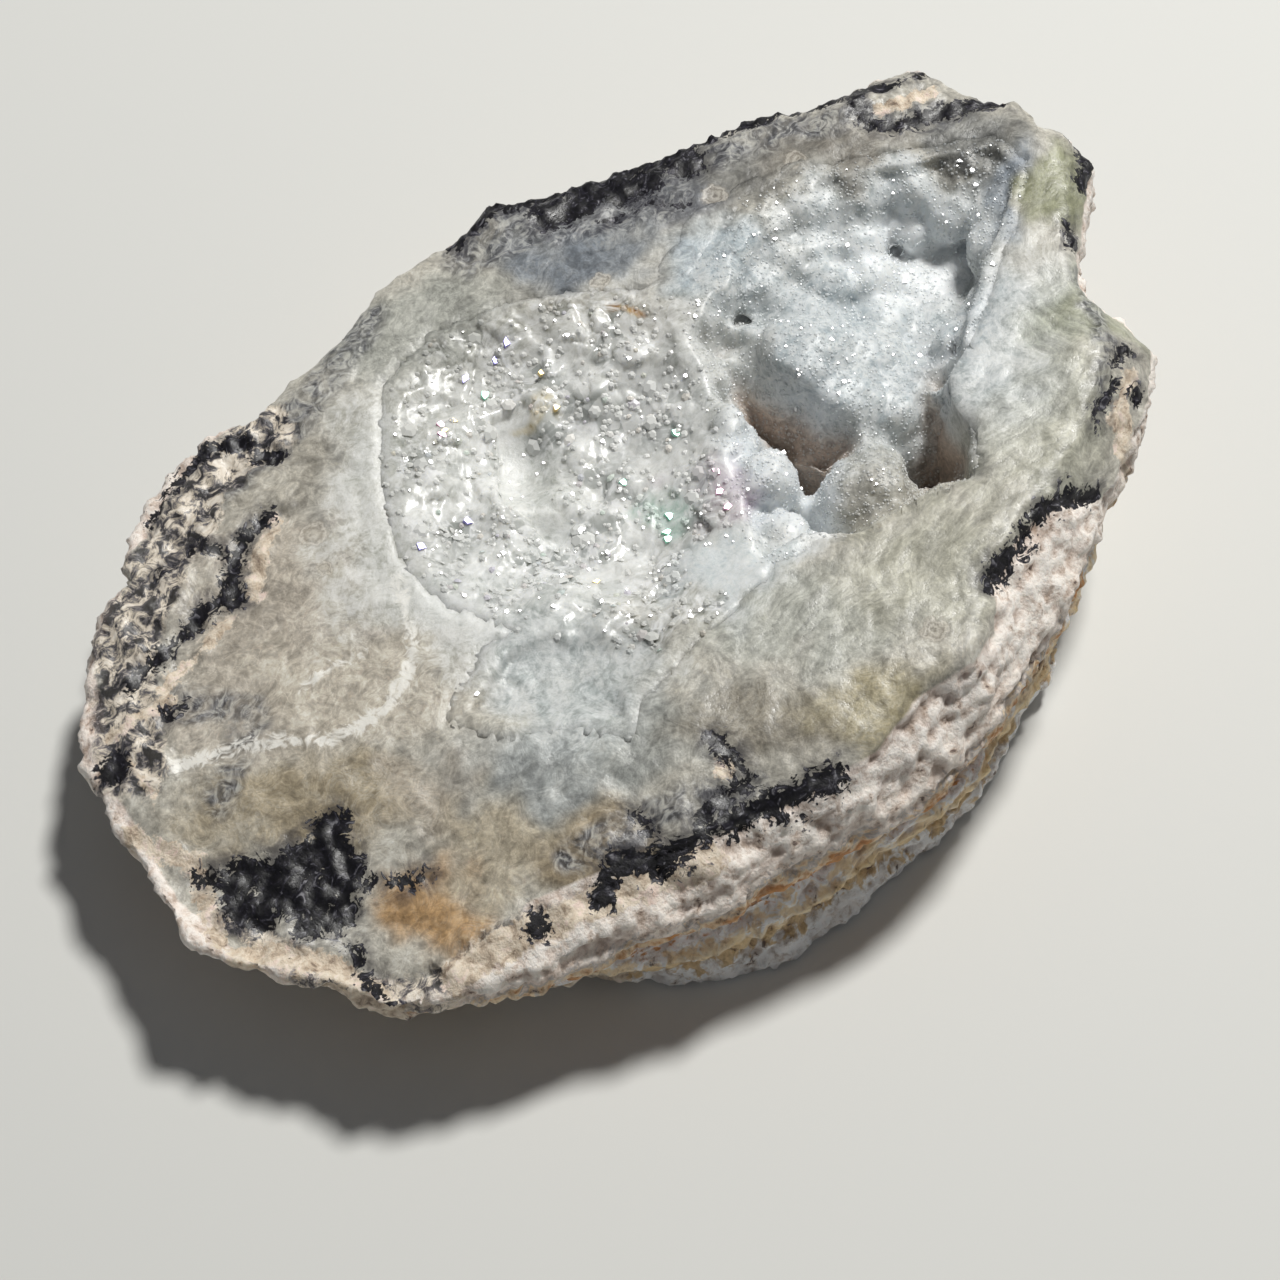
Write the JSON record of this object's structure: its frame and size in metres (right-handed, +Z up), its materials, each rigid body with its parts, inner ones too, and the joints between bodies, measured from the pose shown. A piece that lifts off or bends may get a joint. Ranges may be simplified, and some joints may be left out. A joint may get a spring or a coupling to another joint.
{
  "type": "agate geode",
  "caption": "Half of an agate geode: a rough rind, a broken banded face and a hollow lined with rounded lumps and quartz crystals.",
  "frame": {"origin": "middle of the part's outline seen from above, at the flat spot it rests on", "axes": "+X along the longest extent towards the deep end of the hollow, +Y towards the side away from the layered ledge, +Z up out of the broken face"},
  "size_m": [0.0985, 0.0658, 0.024],
  "materials": {
    "stone": "waxy translucent grey-beige agate face, chalky cream rind with dark purple patches",
    "crystal_crust": "bluish white chalcedony under tiny glittering quartz, clear to milky broken quartz beside it"
  },
  "bodies": {
    "root": {"stone": "stone", "crystal_crust": "crystal_crust"}
  },
  "joints": []
}
